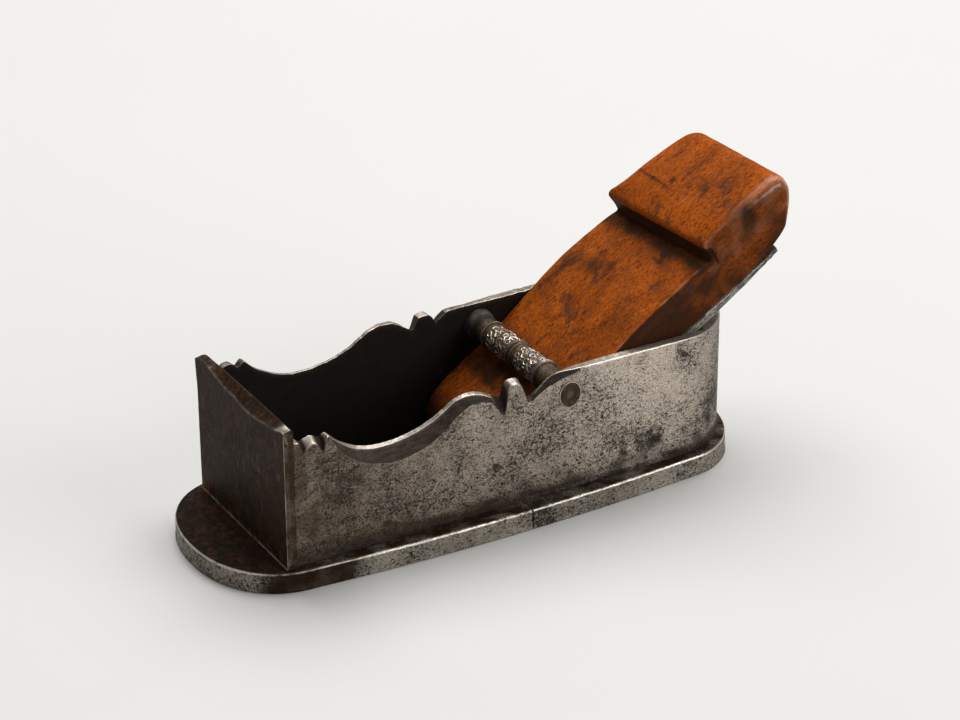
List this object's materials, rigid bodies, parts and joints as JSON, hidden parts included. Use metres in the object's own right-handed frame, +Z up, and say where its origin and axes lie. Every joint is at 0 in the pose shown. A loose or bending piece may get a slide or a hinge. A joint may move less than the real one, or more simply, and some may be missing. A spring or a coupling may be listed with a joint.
{
  "type": "mitre plane",
  "caption": "Small iron-bodied mitre plane on a flat iron sole, with a turned bridge, a low-bedded cutter and a stepped hardwood wedge.",
  "frame": {"origin": "on the underside of the sole, at the middle of the sole's length and width", "axes": "+X towards the heel of the plane, -X towards its toe, +Z up out of the sole, X and Z in the plane of symmetry"},
  "size_m": [0.1189, 0.042, 0.0556],
  "materials": {
    "sole_iron": "worn wrought iron, brown on top, bright along the edges",
    "side_iron": "rubbed grey wrought iron, pitted with dark specks",
    "plate_iron": "dark brown patina on wrought iron",
    "bridge_iron": "turned iron with a punched pattern, rubbed bright on its ridges",
    "block_wood": "dark oiled hardwood",
    "pin_iron": "filed flush iron",
    "cutter_iron": "pitted forged iron",
    "cutter_steel": "ground steel",
    "wedge_wood": "orange-brown hardwood, worn smooth, with dark flecks"
  },
  "bodies": {
    "plane_body": {"sole_front": "sole_iron", "sole_rear": "sole_iron", "body_shell": "side_iron", "front_plate": "plate_iron", "bridge": "bridge_iron", "bed_block": "block_wood", "bed_block_pins": "pin_iron"},
    "cutter": {"cutter_iron": "cutter_iron", "cutter_steel": "cutter_steel"},
    "wedge_body": {"wedge": "wedge_wood"}
  },
  "joints": [
    {"name": "cutter_slide", "type": "slide", "parent": "plane_body", "child": "cutter", "axis": [0.848, 0, 0.5299], "range_m": [-0.0006, 0.05]},
    {"name": "wedge_slide", "type": "slide", "parent": "plane_body", "child": "wedge_body", "axis": [0.848, 0, 0.5299], "range_m": [0, 0.045]}
  ]
}
